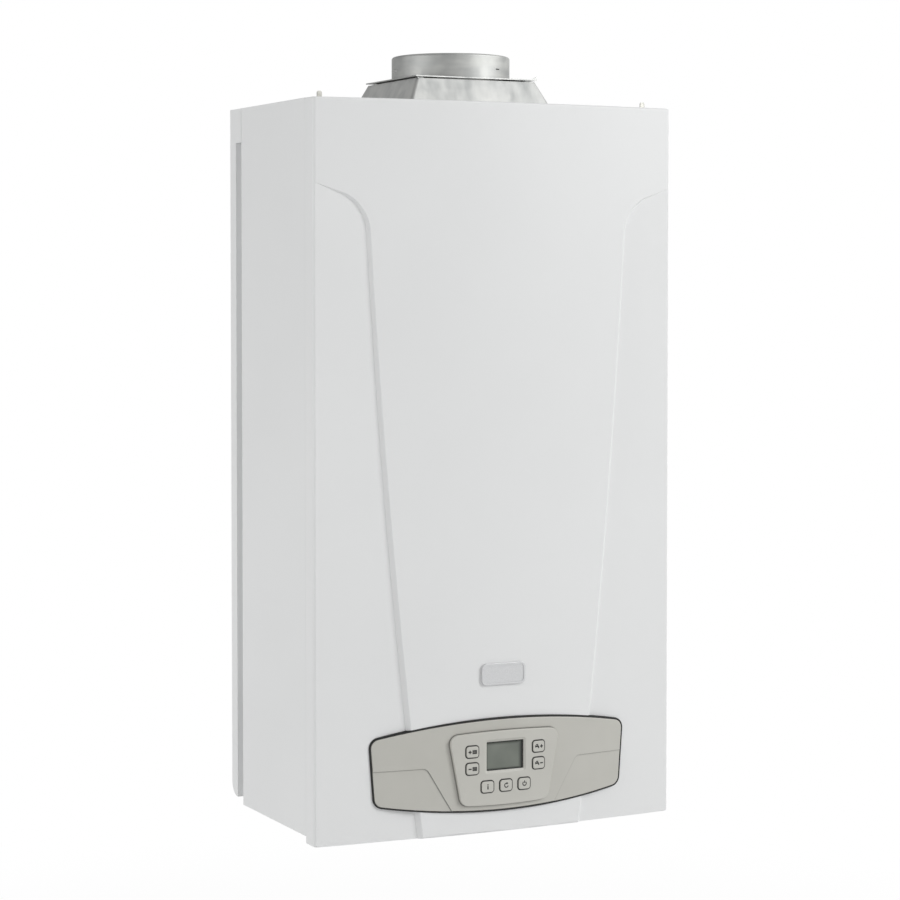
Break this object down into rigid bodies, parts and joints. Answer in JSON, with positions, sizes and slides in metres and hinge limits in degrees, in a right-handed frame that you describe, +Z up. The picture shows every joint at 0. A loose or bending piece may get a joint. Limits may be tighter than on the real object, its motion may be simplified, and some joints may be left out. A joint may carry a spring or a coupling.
{
  "type": "wall-hung gas boiler",
  "caption": "Wall-hung open-flued gas boiler with bowed white steel casing, lens-shaped control panel, draught hood and round flue collar.",
  "frame": {"origin": "on the wall plane, midway between the two hanging holes", "axes": "+Z up, +Y into the wall, -Y is the front, +X to the right seen from the front"},
  "size_m": [0.4, 0.2408, 0.7978],
  "materials": {
    "white_enamel": "white powder-coated steel, satin",
    "galvanised_steel": "galvanised sheet steel",
    "zinc_plated_steel": "zinc-plated steel",
    "stainless_steel": "stainless steel",
    "grey_abs": "warm grey moulded ABS, fine texture",
    "light_abs": "pale grey moulded ABS",
    "silver_badge": "silver lacquered plastic",
    "display_glass": "tinted acrylic window",
    "silicone_rubber": "moulded silicone mat",
    "black_nylon": "glass-filled nylon",
    "circuit_board": "glass-fibre board with parts",
    "ceramic": "glazed ceramic insulator",
    "ceramic_fibre": "pressed ceramic fibre board",
    "copper": "drawn copper",
    "brass": "forged brass",
    "cast_aluminium": "die-cast aluminium",
    "red_enamel": "red stoved paint on steel",
    "black_epdm": "EPDM hose",
    "motor_paint": "dark painted motor can",
    "red_nylon": "moulded knob",
    "blue_nylon": "moulded knob"
  },
  "bodies": {
    "casing": {"back_frame": "white_enamel", "side_panel_left": "white_enamel", "side_panel_right": "white_enamel", "top_panel": "white_enamel", "panel_screws": "zinc_plated_steel", "cover_lugs": "zinc_plated_steel", "stud_clips": "black_nylon", "flue_hood": "galvanised_steel", "hood_plate": "galvanised_steel", "flue_collar": "galvanised_steel", "flue_thermostat": "black_nylon", "combustion_chamber": "galvanised_steel", "insulation_panels": "ceramic_fibre", "exchanger_fins": "copper", "exchanger_tubes": "copper", "burner_bars": "stainless_steel", "burner_manifold": "zinc_plated_steel", "electrodes": "ceramic", "gas_valve": "cast_aluminium", "gas_valve_coils": "black_nylon", "gas_inlet_pipe": "copper", "burner_pipe": "copper", "expansion_vessel": "red_enamel", "vessel_hose": "black_epdm", "pipe_bracket": "galvanised_steel", "connection_tails": "brass", "flow_block": "brass", "diverter_motor": "black_nylon", "return_block": "brass", "safety_valve": "brass", "plate_exchanger": "stainless_steel", "pump_body": "cast_aluminium", "pump_motor": "motor_paint", "air_vent": "brass", "flow_pipe": "copper", "return_pipe": "copper", "pipe_sensors": "black_nylon"},
    "front_cover": {"front_cover": "white_enamel", "cover_studs": "zinc_plated_steel", "badge_plate": "silver_badge"},
    "control_panel": {"facia": "grey_abs", "keypad_plate": "light_abs", "display_window": "display_glass", "keypad_mat": "silicone_rubber", "control_box": "black_nylon", "box_lid": "black_nylon", "circuit_boards": "circuit_board", "hinge_pins": "zinc_plated_steel"},
    "pump_rotor": {"pump_rotor": "stainless_steel"},
    "diverter_stem": {"diverter_stem": "stainless_steel"},
    "flow_turbine": {"flow_turbine": "black_nylon"},
    "safety_knob": {"safety_knob": "red_nylon"},
    "filling_knob": {"filling_knob": "blue_nylon"},
    "button_heating_plus": {"button_heating_plus": "light_abs"},
    "button_heating_minus": {"button_heating_minus": "light_abs"},
    "button_water_plus": {"button_water_plus": "light_abs"},
    "button_water_minus": {"button_water_minus": "light_abs"},
    "button_info": {"button_info": "light_abs"},
    "button_reset": {"button_reset": "light_abs"},
    "button_power": {"button_power": "light_abs"}
  },
  "joints": [
    {"name": "cover_pull", "type": "slide", "parent": "casing", "child": "front_cover", "axis": [0, -1, 0], "range_m": [0, 0.4]},
    {"name": "panel_swing", "type": "hinge", "parent": "casing", "child": "control_panel", "pos_m": [0, -0.192, -0.659], "axis": [1, 0, 0], "range_deg": [0, 80]},
    {"name": "press_heating_plus", "type": "slide", "parent": "control_panel", "child": "button_heating_plus", "axis": [0, 1, 0], "range_m": [0, 0.001], "stiffness_N_per_m": 400},
    {"name": "press_heating_minus", "type": "slide", "parent": "control_panel", "child": "button_heating_minus", "axis": [0, 1, 0], "range_m": [0, 0.001], "stiffness_N_per_m": 400},
    {"name": "press_water_plus", "type": "slide", "parent": "control_panel", "child": "button_water_plus", "axis": [0, 1, 0], "range_m": [0, 0.001], "stiffness_N_per_m": 400},
    {"name": "press_water_minus", "type": "slide", "parent": "control_panel", "child": "button_water_minus", "axis": [0, 1, 0], "range_m": [0, 0.001], "stiffness_N_per_m": 400},
    {"name": "press_info", "type": "slide", "parent": "control_panel", "child": "button_info", "axis": [0, 1, 0], "range_m": [0, 0.001], "stiffness_N_per_m": 400},
    {"name": "press_reset", "type": "slide", "parent": "control_panel", "child": "button_reset", "axis": [0, 1, 0], "range_m": [0, 0.001], "stiffness_N_per_m": 400},
    {"name": "press_power", "type": "slide", "parent": "control_panel", "child": "button_power", "axis": [0, 1, 0], "range_m": [0, 0.001], "stiffness_N_per_m": 400},
    {"name": "rotor_spin", "type": "hinge", "parent": "casing", "child": "pump_rotor", "pos_m": [0.105, -0.062, -0.55], "axis": [0, -1, 0], "continuous": true},
    {"name": "diverter_shift", "type": "slide", "parent": "casing", "child": "diverter_stem", "axis": [0, 0, -1], "range_m": [0, 0.007]},
    {"name": "turbine_spin", "type": "hinge", "parent": "casing", "child": "flow_turbine", "pos_m": [0.065, -0.06, -0.623], "axis": [0, 0, 1], "continuous": true},
    {"name": "safety_turn", "type": "hinge", "parent": "casing", "child": "safety_knob", "pos_m": [0.13, -0.107, -0.625], "axis": [0, -1, 0], "range_deg": [0, 90]},
    {"name": "filling_turn", "type": "hinge", "parent": "casing", "child": "filling_knob", "pos_m": [0.0975, -0.06, -0.668], "axis": [0, 0, 1], "range_deg": [0, 270]}
  ],
  "couplings": [
    {"joint": "panel_swing", "follows": "cover_pull", "rad_per_m": 3.4906}
  ]
}
